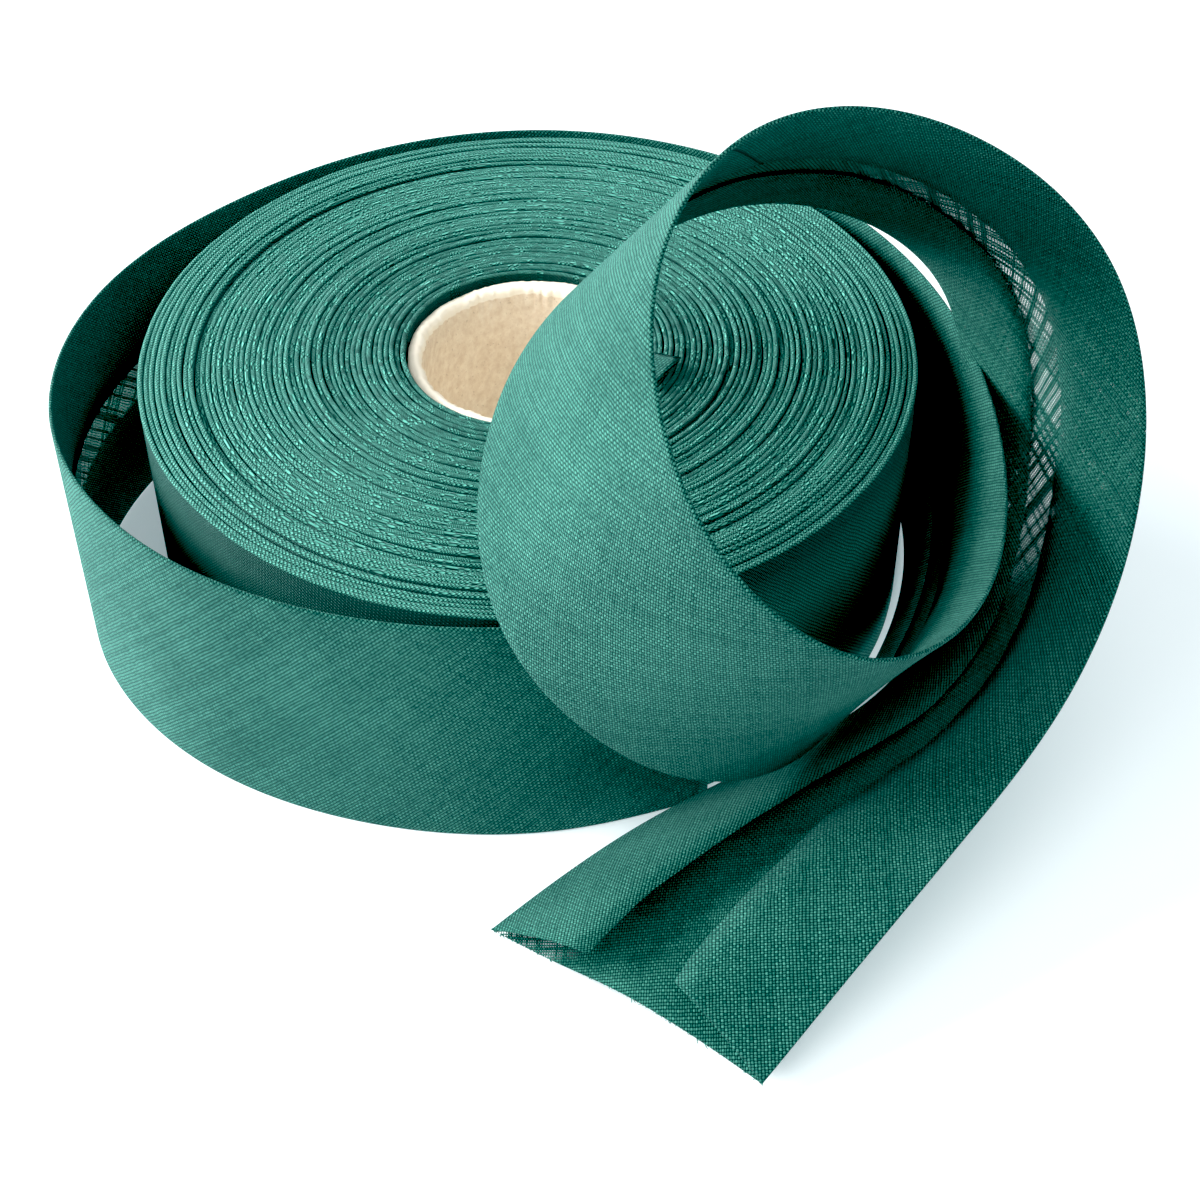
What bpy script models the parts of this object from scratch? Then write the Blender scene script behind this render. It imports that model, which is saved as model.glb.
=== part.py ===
"""A roll of folded bias binding, standing on a table on its flat side.

The outermost turn has sprung loose. It stands on edge around the roll, rises at the right
into one open loop, and comes down in front, where its cut end lies on the table.

Lengths in the tables are millimetres, and MM turns them into metres. +Z is up, and -Y is the
front, where the cut end lies. Everything is built about the roll's axis and is moved at the
end, so that the origin is under the middle of the whole thing, on the table.
"""

import math

import bmesh
import bpy
import numpy as np

MM = 0.001

# The binding: a strip of cotton with both long edges folded in to its inner side.
TAPE_WIDTH = 40.0
FLAP_WIDTH = 17.0
LAYER = 0.5          # one layer of cloth, with the air that it holds
SLIT = 0.2           # between a folded-in flap and the cloth under it
FOLD_ROUND = 0.5     # how far a fold's round edge reaches in from its crest

# The roll and the cardboard tube inside it.
ROLL_RADIUS = 56.4
BORE_RADIUS = 18.3
TURN_THICKNESS = 0.8
CORE_RADIUS = 17.95
CORE_WALL = 2.2
CORE_HEIGHT = 38.7   # a little lower than the binding wound on it
CORE_LIP = 0.6       # the worn inner corner of the tube's ends
EDGE_SOFTNESS = 0.4  # the soft corner of the outermost turn
AROUND = 64          # facets around the roll and the tube

# Bands of turns on the roll's upper face, from the core outwards: where each starts, and how
# far its edges stand above or below the binding's width. A narrow low band is a gap.
BANDS = (
    # (start radius, height offset)
    (18.3, -0.4),
    (20.5, 0.0),
    (26.0, -0.3),
    (31.5, 0.1),
    (37.0, -0.2),
    (42.5, 0.1),
    (48.4, -1.1),
    (49.3, 0.0),
    (53.0, -0.2),
)
BAND_SLOPE = 0.3     # the width of the step between two bands

# The loose turn that stands on edge around the roll: the bearing is measured clockwise from
# the front, and the radius runs from the roll's axis to the middle of the binding.
STANDING_TURN = (
    # (bearing in degrees, radius)
    (-24, 57.8),
    (-5, 58.3),
    (22, 61.0),
    (49, 65.8),
    (76, 68.8),
    (103, 65.7),
    (130, 60.0),
    (157, 57.9),
    (184, 57.5),
    (211, 57.8),
    (238, 59.5),
)

# The rest of the loose binding, along its middle line. The last two columns say which way the
# upper edge lies from the middle line: its compass bearing from +X, and its rise.
LOOP = (
    # (place, x, y, z, edge bearing, edge rise)
    ("right side", 59.0, 11.0, 20.5, 18, 86),
    ("leaning out", 56.0, -35.5, 24.0, 3, 66),
    ("front corner", 42.5, -64.0, 31.5, -9, 53),
    ("front", 25.5, -76.0, 43.5, -23, 45),
    ("rising", 10.5, -72.5, 59.0, -32, 43),
    ("far left", 7.0, -49.0, 77.0, -45, 49),
    ("crown", 21.5, -25.5, 82.5, -47, 51),
    ("over the roll", 46.0, -11.5, 76.5, -52, 40),
    ("tight bend", 69.0, -12.0, 60.0, -62, 36),
    ("coming down", 72.0, -28.0, 38.0, -60, 35),
    ("reaching the table", 62.0, -47.5, 18.5, -62, 35),
    ("touching down", 44.0, -63.5, 11.5, -57, 24),
    ("lying", 28.5, -76.0, 8.0, -54, 11),
    ("cut end", 12.5, -89.0, 1.8, -48, -1),
)

# The cut end: the folds relax there, so the binding spreads and its flaps lift.
SPREAD = 1.6         # extra width at the cut
SPREAD_LENGTH = 60.0
SLANT = 4.3          # how far the cut runs askew, at each edge
SLANT_LENGTH = 40.0
LOWER_FLAP_LIFT = 23.0
UPPER_FLAP_LIFT = 20.0
LIFT_LENGTH = 85.0
SECTION_STEP = 8.0
STANDING_CLEARANCE = 0.1   # the loose turn's lower edge above the table

TEAL = (0.012, 0.170, 0.128, 1.0)
CARDBOARD = (0.620, 0.500, 0.360, 1.0)


def clear_scene():
    """Remove the objects that a new file starts with."""
    for obj in list(bpy.data.objects):
        bpy.data.objects.remove(obj, do_unlink=True)


def principled(name, colour, roughness):
    """Make a plain matt material."""
    material = bpy.data.materials.new(name)
    material.use_nodes = True
    shader = material.node_tree.nodes["Principled BSDF"]
    shader.inputs["Base Color"].default_value = colour
    shader.inputs["Roughness"].default_value = roughness
    shader.inputs["Metallic"].default_value = 0.0
    return material


def natural_spline(knots, values, where):
    """Read a natural cubic spline through the rows of values at the places in where."""
    count = len(knots)
    gaps = np.diff(knots)
    matrix = np.eye(count)
    sides = np.zeros_like(values)
    for i in range(1, count - 1):
        matrix[i, i - 1] = gaps[i - 1]
        matrix[i, i] = 2.0 * (gaps[i - 1] + gaps[i])
        matrix[i, i + 1] = gaps[i]
        steps = (values[i + 1] - values[i]) / gaps[i] - (values[i] - values[i - 1]) / gaps[i - 1]
        sides[i] = 6.0 * steps
    bends = np.linalg.solve(matrix, sides)
    k = np.clip(np.searchsorted(knots, where, side="right") - 1, 0, count - 2)
    ahead = (knots[k + 1] - where)[:, None]
    behind = (where - knots[k])[:, None]
    gap = gaps[k][:, None]
    curved = (bends[k] * ahead**3 + bends[k + 1] * behind**3) / (6.0 * gap)
    straight = (values[k] / gap - bends[k] * gap / 6.0) * ahead
    return curved + straight + (values[k + 1] / gap - bends[k + 1] * gap / 6.0) * behind


def tape_stations():
    """Join the two tables into rows of x, y, z, edge bearing and edge rise."""
    rows = []
    height = TAPE_WIDTH / 2 + STANDING_CLEARANCE
    for bearing, radius in STANDING_TURN:
        angle = math.radians(bearing)
        rows.append((-radius * math.sin(angle), -radius * math.cos(angle), height, 0, 90))
    rows += [row[1:] for row in LOOP]
    return np.array(rows, dtype=float)


def ease(distance, reach):
    """Rise smoothly from 0, at reach from the cut end, to 1 at the cut end."""
    x = np.clip(1.0 - distance / reach, 0.0, 1.0)
    return x * x * (3.0 - 2.0 * x)


def tape_frames():
    """Work out evenly spaced sections: middle, along, edge direction, inner side, distance."""
    rows = tape_stations()
    chords = np.linalg.norm(np.diff(rows[:, :3], axis=0), axis=1)
    knots = np.concatenate([[0.0], np.cumsum(chords)])
    where = np.linspace(0.0, knots[-1], round(knots[-1] / SECTION_STEP) + 1)
    read = natural_spline(knots, rows, where)
    middle = read[:, :3]
    along = np.gradient(middle, axis=0)
    along /= np.linalg.norm(along, axis=1)[:, None]
    bearing = np.radians(read[:, 3])
    rise = np.radians(read[:, 4])
    level = np.cos(rise)
    edge = np.stack([level * np.cos(bearing), level * np.sin(bearing), np.sin(rise)], axis=1)
    edge -= along * np.sum(edge * along, axis=1)[:, None]
    edge /= np.linalg.norm(edge, axis=1)[:, None]
    inner = np.cross(along, edge)
    return middle, along, edge, inner, knots[-1] - where


def flap_side(half_width, lift):
    """Outline one half of the folded section: the back of the base, the fold, the flap, the slit.

    Each point is (across, height): across runs out to the fold, and height to the inner side.
    The base has points level with the flap's, so that the layers keep their distance.
    """
    cosine = math.cos(lift)
    sine = math.sin(lift)
    reaches = (FOLD_ROUND, FLAP_WIDTH / 2, FLAP_WIDTH)
    bulges = (0.0, 0.3, 0.0)
    back = [(half_width - reach, -LAYER - SLIT / 2) for reach in reversed(reaches)]
    face = []
    under = []
    for reach, bulge in zip(reaches, bulges):
        across = half_width - reach * cosine
        height = SLIT / 2 + (reach - FOLD_ROUND) * sine * (1.0 + bulge)
        face.append((across + LAYER * sine, height + LAYER * cosine))
        under.append((across, height))
    crest = [(half_width, 0.0)]
    slit = [under[2], under[1], (half_width - 2 * FOLD_ROUND, 0.0)]
    base = [(half_width - reach, -SLIT / 2) for reach in (3 * FOLD_ROUND, *reaches[1:])]
    return back + crest + face + slit + base


def end_caps(count):
    """Close a cut end layer by layer: the base, the fold and the flap of each half.

    The numbers are the places of flap_side's points, and the other half runs backwards.
    """
    half = [(0, 1, 11, 12), (1, 2, 10, 11), (2, 3, 9, 10), (3, 4, 9), (4, 5, 8, 9), (5, 6, 7, 8)]
    other = [tuple(count - 1 - i for i in reversed(cap)) for cap in half]
    return half + other + [(0, 12, count - 13, count - 1)]


def tape_sections():
    """List each section's outline as points in space, all with the same number of points.

    The second list says which sides of the outline run towards the upper edge.
    """
    sections = []
    for middle, along, edge, inner, left in zip(*tape_frames()):
        half_width = (TAPE_WIDTH + SPREAD * ease(left, SPREAD_LENGTH)) / 2
        slant = SLANT * max(0.0, 1.0 - left / SLANT_LENGTH) ** 2
        lifted = ease(left, LIFT_LENGTH)
        upper = flap_side(half_width, math.radians(UPPER_FLAP_LIFT) * lifted)
        lower = flap_side(half_width, math.radians(LOWER_FLAP_LIFT) * lifted)
        outline = upper + [(-across, height) for across, height in reversed(lower)]
        points = []
        for across, height in outline:
            askew = -slant * across / half_width
            points.append(middle + edge * across + inner * height + along * askew)
        sections.append(points)
    across = [point[0] for point in outline]
    rising = [after > before for before, after in zip(across, across[1:] + across[:1])]
    return sections, rising


def skin(name, rings, material, rising=None, caps=()):
    """Join rings of points into one closed body.

    With no list of rising sides, the last ring joins the first. With one, the body has the
    given caps at both ends, and layers that lie on each other are split the same way.
    """
    mesh = bpy.data.meshes.new(name)
    made = bmesh.new()
    rows = [[made.verts.new([value * MM for value in point]) for point in ring] for ring in rings]
    pairs = list(zip(rows, rows[1:]))
    if rising is None:
        pairs.append((rows[-1], rows[0]))
    else:
        for row in (rows[0], rows[-1]):
            for cap in caps:
                made.faces.new([row[i] for i in cap])
    for first, second in pairs:
        for i in range(len(first)):
            j = (i + 1) % len(first)
            if rising is None or rising[i]:
                made.faces.new((first[i], second[i], second[j]))
                made.faces.new((first[i], second[j], first[j]))
            else:
                made.faces.new((first[i], second[i], first[j]))
                made.faces.new((second[i], second[j], first[j]))
    bmesh.ops.triangulate(made, faces=made.faces[:])
    bmesh.ops.recalc_face_normals(made, faces=made.faces[:])
    made.to_mesh(mesh)
    made.free()
    mesh.shade_smooth()
    mesh.set_sharp_from_angle(angle=math.radians(30))
    obj = bpy.data.objects.new(name, mesh)
    obj.data.materials.append(material)
    bpy.context.collection.objects.link(obj)
    return obj


def loose_tape(material):
    """The sprung turn, the loop and the cut end, as one folded strip."""
    sections, rising = tape_sections()
    return skin("loose_tape", sections, material, rising, end_caps(len(rising)))


def roll_profile(outer_radius):
    """Outline the wound roll's section as (radius, height), starting at the bore's foot."""
    points = [(BORE_RADIUS, 0.0)]
    previous = None
    for start, offset in BANDS:
        if previous is None:
            points.append((start, TAPE_WIDTH + offset))
        else:
            points.append((start - BAND_SLOPE / 2, TAPE_WIDTH + previous))
            points.append((start + BAND_SLOPE / 2, TAPE_WIDTH + offset))
        previous = offset
    top = TAPE_WIDTH + previous
    points.append((outer_radius - EDGE_SOFTNESS, top))
    points.append((outer_radius, top - EDGE_SOFTNESS))
    points.append((outer_radius, EDGE_SOFTNESS))
    points.append((outer_radius - EDGE_SOFTNESS, 0.0))
    return points


def turned(name, profiles, material):
    """Stand one section after another around the roll's axis and join them."""
    rings = []
    for i, profile in enumerate(profiles):
        angle = 2.0 * math.pi * i / len(profiles)
        rings.append([(r * math.cos(angle), r * math.sin(angle), z) for r, z in profile])
    return skin(name, rings, material)


def wound_roll(material):
    """The turns that are still wound, as one ring that grows by a turn on its way round."""
    first_bearing = math.radians(270.0 - STANDING_TURN[0][0])
    profiles = []
    for i in range(AROUND):
        gone = (first_bearing - 2.0 * math.pi * i / AROUND) / (2.0 * math.pi) % 1.0
        profiles.append(roll_profile(ROLL_RADIUS - TURN_THICKNESS * (1.0 - gone)))
    return turned("wound_roll", profiles, material)


def core_tube(material):
    """The cardboard tube that the binding is wound on."""
    inner = CORE_RADIUS - CORE_WALL
    profile = [
        (inner, CORE_LIP),
        (inner, CORE_HEIGHT - CORE_LIP),
        (inner + CORE_LIP, CORE_HEIGHT),
        (CORE_RADIUS, CORE_HEIGHT),
        (CORE_RADIUS, 0.0),
        (inner + CORE_LIP, 0.0),
    ]
    return turned("core_tube", [profile] * AROUND, material)


def stand_on_origin(objects):
    """Move everything so that the origin is under the middle of the whole box, on the table."""
    corners = np.array([vertex.co for obj in objects for vertex in obj.data.vertices])
    low = corners.min(axis=0)
    high = corners.max(axis=0)
    for obj in objects:
        obj.location = (-(low[0] + high[0]) / 2, -(low[1] + high[1]) / 2, -low[2])


def main():
    clear_scene()
    binding = principled("binding cotton", TEAL, 0.85)
    cardboard = principled("core cardboard", CARDBOARD, 0.9)
    pieces = [core_tube(cardboard), wound_roll(binding), loose_tape(binding)]
    stand_on_origin(pieces)


main()
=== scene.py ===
# %% [markdown]
# A roll of folded bias binding
#
# Bias binding is a strip of cotton, cut at 45 degrees to its threads so that it bends round
# curves. Both long edges are folded in towards the middle, and the strip is wound on a
# cardboard tube. On this roll the outer turn has sprung loose: it stands on edge around the
# roll, rises at the right into an open loop, and its cut end comes down in front, where it
# stays a little above the table.
#
# The plan: load the solid model as a frame, set the camera, then make the loose binding as
# thin folded cloth, the wound turns as a long spiral, the tube, and last the light.

# %% Load the frame
import math

import bpy
import numpy as np
from mathutils import Matrix, Vector


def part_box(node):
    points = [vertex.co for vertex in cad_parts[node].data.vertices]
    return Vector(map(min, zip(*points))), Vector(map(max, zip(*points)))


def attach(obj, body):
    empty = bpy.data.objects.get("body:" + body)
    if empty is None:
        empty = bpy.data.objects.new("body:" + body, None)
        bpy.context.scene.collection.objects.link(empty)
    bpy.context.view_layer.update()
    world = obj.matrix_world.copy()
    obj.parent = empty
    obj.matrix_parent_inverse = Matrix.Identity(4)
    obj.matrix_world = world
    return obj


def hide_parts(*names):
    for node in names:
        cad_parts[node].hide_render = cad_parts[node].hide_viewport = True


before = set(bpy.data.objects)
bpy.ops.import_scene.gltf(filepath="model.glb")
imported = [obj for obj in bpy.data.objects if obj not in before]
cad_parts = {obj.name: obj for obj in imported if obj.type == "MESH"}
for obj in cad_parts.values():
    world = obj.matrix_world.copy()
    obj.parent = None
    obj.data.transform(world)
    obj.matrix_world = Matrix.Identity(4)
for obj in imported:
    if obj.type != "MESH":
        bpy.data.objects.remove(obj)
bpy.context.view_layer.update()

# %% [markdown]
# Everything is measured from the roll's axis, because a wound thing is simplest to describe
# in bearings and radii. The tube's box gives the axis: it is the middle of that box. Lengths
# below are in millimetres where the name says so, and MM turns them into metres.

# %% The roll's axis
MM = 0.001
tube_low, tube_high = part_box("core_tube")
AXIS = Vector(((tube_low.x + tube_high.x) / 2, (tube_low.y + tube_high.y) / 2, 0.0))
TUBE_RADIUS = (tube_high.x - tube_low.x) / 2
TUBE_HEIGHT = tube_high.z
print("axis at", [round(value / MM, 2) for value in AXIS], "mm")

# %% [markdown]
# The camera comes first, so that each piece can be looked at as it is made. It looks down at
# the roll from the front, a little under 44 degrees above the table, through a lens that is
# long enough to keep the round roll from bulging. Its turn is set by three directions: right,
# up and back. Writing them as the columns of a matrix gives the camera's rotation. The numbers
# for its place, turn and lens come from a least-squares fit to the roll's outline, made outside
# this file. They aren't worked out from the frame.

# %% The camera
CAMERA_ELEVATION = math.radians(43.9)
CAMERA_DISTANCE = 0.3386
CAMERA_ROLL = math.radians(-0.385)
CAMERA_LENS = 65.94        # in millimetres, behind a sensor of the width below
SENSOR_WIDTH = 36.0
NEAREST_SEEN = 0.01
AIM = AXIS + Vector((9.92 * MM, -12.2 * MM, 0.0))


def make_camera():
    """Add the camera and look at the aim from the front."""
    back = Vector((0.0, -math.cos(CAMERA_ELEVATION), math.sin(CAMERA_ELEVATION)))
    level_up = Vector((0.0, math.sin(CAMERA_ELEVATION), math.cos(CAMERA_ELEVATION)))
    level_right = Vector((1.0, 0.0, 0.0))
    right = level_right * math.cos(CAMERA_ROLL) + level_up * math.sin(CAMERA_ROLL)
    up = level_up * math.cos(CAMERA_ROLL) - level_right * math.sin(CAMERA_ROLL)
    data = bpy.data.cameras.new("camera")
    data.sensor_width = SENSOR_WIDTH
    data.lens = CAMERA_LENS
    data.clip_start = NEAREST_SEEN
    camera = bpy.data.objects.new("camera", data)
    bpy.context.scene.collection.objects.link(camera)
    turn = Matrix((right, up, back)).transposed().to_4x4()
    camera.matrix_world = Matrix.Translation(AIM + back * CAMERA_DISTANCE) @ turn
    return camera


bpy.context.scene.camera = make_camera()
print("camera at", [round(value, 3) for value in bpy.context.scene.camera.location])

# %% [markdown]
# Two small helpers keep node trees short: one adds a node and sets its options, the other
# feeds a socket from another node or with a plain value. Maths in a node tree then reads
# almost like maths in code.

# %% Helpers for materials


def add_node(tree, kind, **options):
    """Add a node and set its options."""
    node = tree.nodes.new(kind)
    for name, value in options.items():
        setattr(node, name, value)
    return node


def feed(tree, socket, value):
    """Link a socket to another, or set its value."""
    if isinstance(value, bpy.types.NodeSocket):
        tree.links.new(value, socket)
    else:
        socket.default_value = value


def calc(tree, operation, *values):
    """Add one step of maths and return its result."""
    node = add_node(tree, "ShaderNodeMath", operation=operation)
    for socket, value in zip(node.inputs, values):
        feed(tree, socket, value)
    return node.outputs[0]


def remap(tree, value, low, high, to_low=0.0, to_high=1.0, smooth=False):
    """Stretch a value from one range to another, and hold it there."""
    node = add_node(tree, "ShaderNodeMapRange")
    if smooth:
        node.interpolation_type = "SMOOTHSTEP"
    for socket, given in zip(node.inputs, (value, low, high, to_low, to_high)):
        feed(tree, socket, given)
    return node.outputs[0]


def noise(tree, place, scale, detail=2.0, roughness=0.5):
    """Read soft noise at a place."""
    node = add_node(tree, "ShaderNodeTexNoise")
    feed(tree, node.inputs["Vector"], place)
    node.inputs["Scale"].default_value = scale
    node.inputs["Detail"].default_value = detail
    node.inputs["Roughness"].default_value = roughness
    return node.outputs["Fac"]


def blend_colours(tree, share, first, second):
    """Mix two colours by a share."""
    node = add_node(tree, "ShaderNodeMix", data_type="RGBA")
    feed(tree, node.inputs["Factor"], share)
    feed(tree, node.inputs["A"], first)
    feed(tree, node.inputs["B"], second)
    return node.outputs["Result"]


def new_material(name):
    """Make a material and return it with its tree and its Principled shader."""
    material = bpy.data.materials.new(name)
    material.use_nodes = True
    tree = material.node_tree
    return material, tree, tree.nodes["Principled BSDF"]


print("helpers ready")

# %% [markdown]
# The cotton is a plain weave: each thread goes over one and under the next. Binding is cut on
# the bias, so on the strip the threads run at 45 degrees, one set laid wider than the other.
# The pattern could be drawn with wave textures, but sums of the strip's own two coordinates
# give more control. The UV map holds metres from the cut end and metres across the unfolded
# strip, so their sum and their difference run along the two sets of threads. From them come a
# height for the bump, a tone for each thread, a speck for each crossing, and the tiny holes
# where four threads meet. The holes are open where the cloth is a single layer, so that it
# looks sheer, and where it is double only a few of them line up and let a spark through.

# %% The cotton
COARSE_PITCH = 0.46 * MM   # from thread to thread, if the strip is 40 mm wide
FINE_PITCH = 0.34 * MM
THREAD_DRIFT = 0.8         # how far, in threads, a thread strays from its line
COTTON = (0.036, 0.180, 0.145, 1.0)
COTTON_LIGHT = (0.130, 0.450, 0.362, 1.0)
# painted shade: the colour drawn into the gaps between threads and below the wound turns' crests, and also
# the colour of the seam line
COTTON_SHADE_AND_SEAM = (0.006, 0.028, 0.024, 1.0)
PALE_FROM, PALE_TO = 0.34, 0.78   # the mixture at which the cotton is darkest and palest
TONE_SHARE = 0.20          # what makes up the mixture: each thread's own tone,
CLOUD_SHARE = 0.45         # wide soft clouds,
SPECK_SHARE = 0.25         # each crossing's own tone,
FUZZ_SHARE = 0.25          # and the finest fuzz
# painted light: the wound turns are drawn paler, standing in for the light on the roll's top and its
# crests
WOUND_PAINTED_LIGHT = 0.22          # how much paler the wound turns are
# painted shade: how dark the wound turns' sides are drawn below their crests
CREST_PAINTED_SHADE = 0.85
JOIN_DARKNESS = 0.85
WEAVE_DEPTH = 0.16 * MM
SHEEN_TINT = (0.48, 0.95, 0.88, 1.0)
THREAD_GLOW = 0.30         # the share of light that comes through a thread
BARE_HALF_WIDTH = 3.2 * MM  # half of the single layer between the flaps
FOLD_AT = 20.6 * MM        # where the fold ends and the flap begins, on the unfolded strip
OPEN_END = 13.0 * MM       # the stretch at the cut where a single layer shows
OPEN_CHANCE = 0.72         # above this speck, a hole of a double layer is open
STRETCHED = (
    # the ends of the rise and of the fall, in mm from the cut end, and how far it opens
    (74, 92, 122, 160, 1.0),
    (500, 516, 548, 568, 0.35),
)
TIGHT_SHARE = 0.30         # the share of threads that lie close against the next ones
JOIN_AT = 209.5 * MM       # sum of the two coordinates on the slanting join
# painted shade: the band below each crest that is drawn darker, as shade in the gaps between turns and on
# the roll's outer side
CREST_SHADE_BAND = (0.36, 0.60, 3.0, 12.0)  # in mm from a crest's middle, where a turn dips from sight


def thread_offset(tree, counted):
    """How far a place is from its thread's middle: 0 in the middle and 1 in the gap."""
    inside = calc(tree, "FRACT", counted)
    return calc(tree, "MULTIPLY", calc(tree, "ABSOLUTE", calc(tree, "SUBTRACT", inside, 0.5)), 2.0)


def random_cell(tree, first, second):
    """A random number for each pair of whole numbers."""
    node = add_node(tree, "ShaderNodeTexWhiteNoise", noise_dimensions="2D")
    place = add_node(tree, "ShaderNodeCombineXYZ")
    feed(tree, place.inputs[0], calc(tree, "FLOOR", first))
    feed(tree, place.inputs[1], calc(tree, "FLOOR", second))
    feed(tree, node.inputs["Vector"], place.outputs[0])
    return node.outputs["Value"]


def choose(tree, switch, first, second):
    """Take the first number where the switch is 0 and the second where it is 1."""
    node = add_node(tree, "ShaderNodeMix", data_type="FLOAT")
    feed(tree, node.inputs["Factor"], switch)
    feed(tree, node.inputs["A"], first)
    feed(tree, node.inputs["B"], second)
    return node.outputs["Result"]


def gap_width(tree, off, tone):
    """Large in a thread's gap, and small all over for the threads that lie close together."""
    closed = remap(tree, tone, TIGHT_SHARE, TIGHT_SHARE + 0.04, -0.40, 0.04)
    return calc(tree, "ADD", off, calc(tree, "ADD", closed, calc(tree, "MULTIPLY", tone, 0.16)))


def weave(tree):
    """The plain weave on the bias: returns height, tone, speck, hole and the two coordinates."""
    uv = add_node(tree, "ShaderNodeUVMap", uv_map="strip")
    apart = add_node(tree, "ShaderNodeSeparateXYZ")
    feed(tree, apart.inputs[0], uv.outputs["UV"])
    left, across = apart.outputs[0], apart.outputs[1]
    drift = noise(tree, uv.outputs["UV"], 330.0, 2.0)
    drift = calc(tree, "MULTIPLY", calc(tree, "SUBTRACT", drift, 0.5), THREAD_DRIFT)
    coarse_count = 1.0 / (math.sqrt(2.0) * COARSE_PITCH)
    fine_count = 1.0 / (math.sqrt(2.0) * FINE_PITCH)
    coarse = calc(tree, "MULTIPLY", calc(tree, "SUBTRACT", left, across), coarse_count)
    fine = calc(tree, "MULTIPLY", calc(tree, "ADD", left, across), fine_count)
    coarse = calc(tree, "ADD", coarse, drift)
    fine = calc(tree, "SUBTRACT", fine, drift)
    coarse_tone = random_cell(tree, coarse, 3.0)
    fine_tone = random_cell(tree, fine, 8.0)
    coarse_off = thread_offset(tree, coarse)
    fine_off = thread_offset(tree, fine)
    crossing = calc(tree, "ADD", calc(tree, "FLOOR", coarse), calc(tree, "FLOOR", fine))
    over = calc(tree, "PINGPONG", crossing, 1.0)
    coarse_round = calc(tree, "SUBTRACT", 1.0, calc(tree, "POWER", coarse_off, 2.0))
    fine_round = calc(tree, "SUBTRACT", 1.0, calc(tree, "POWER", fine_off, 2.0))
    coarse_top = calc(tree, "MULTIPLY", coarse_round, remap(tree, fine_round, 0, 1, 0.30, 1))
    fine_top = calc(tree, "MULTIPLY", fine_round, remap(tree, coarse_round, 0, 1, 0.15, 0.62))
    height = choose(tree, over, coarse_top, fine_top)
    tone = choose(tree, over, coarse_tone, fine_tone)
    coarse_gap = gap_width(tree, coarse_off, coarse_tone)
    fine_gap = gap_width(tree, fine_off, fine_tone)
    hole = remap(tree, calc(tree, "MINIMUM", coarse_gap, fine_gap), 0.44, 0.50)
    return height, tone, random_cell(tree, coarse, fine), hole, left, across


def window(tree, value, ramp):
    """1 in the middle of a range, with a soft rise and fall: ramp is its four corners in mm."""
    rise = remap(tree, value, ramp[0] * MM, ramp[1] * MM)
    return calc(tree, "MULTIPLY", rise, remap(tree, value, ramp[2] * MM, ramp[3] * MM, 1.0, 0.0))


def open_share(tree, speck, left, across):
    """How far the holes are open: on the stretches where the weave is drawn apart."""
    out = calc(tree, "ABSOLUTE", across)
    bare = remap(tree, out, BARE_HALF_WIDTH, BARE_HALF_WIDTH + 0.6 * MM, 1.0, 0.0)
    flap = remap(tree, out, FOLD_AT, FOLD_AT + 0.3 * MM)
    chance = remap(tree, speck, OPEN_CHANCE, OPEN_CHANCE + 0.01)
    share = calc(tree, "MAXIMUM", calc(tree, "MAXIMUM", bare, flap), chance)
    opened = [calc(tree, "MULTIPLY", window(tree, left, ramp), ramp[4]) for ramp in STRETCHED]
    stretched = calc(tree, "MAXIMUM", *opened)
    end = remap(tree, left, OPEN_END - 6.0 * MM, OPEN_END, 1.0, 0.0)
    end = calc(tree, "MULTIPLY", end, window(tree, across, (-FOLD_AT / MM, -20.0, -13.0, -8.0)))
    return calc(tree, "MAXIMUM", calc(tree, "MULTIPLY", share, stretched), end)


def join_line(tree, left, across):
    """The slanting join of two lengths of strip, where it shows on the upper flap."""
    off = calc(tree, "SUBTRACT", calc(tree, "ADD", left, across), JOIN_AT)
    line = remap(tree, calc(tree, "ABSOLUTE", off), 0.12 * MM, 0.40 * MM, 1.0, 0.0)
    return calc(tree, "MULTIPLY", line, remap(tree, across, FOLD_AT, FOLD_AT + 1.0 * MM))


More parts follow.
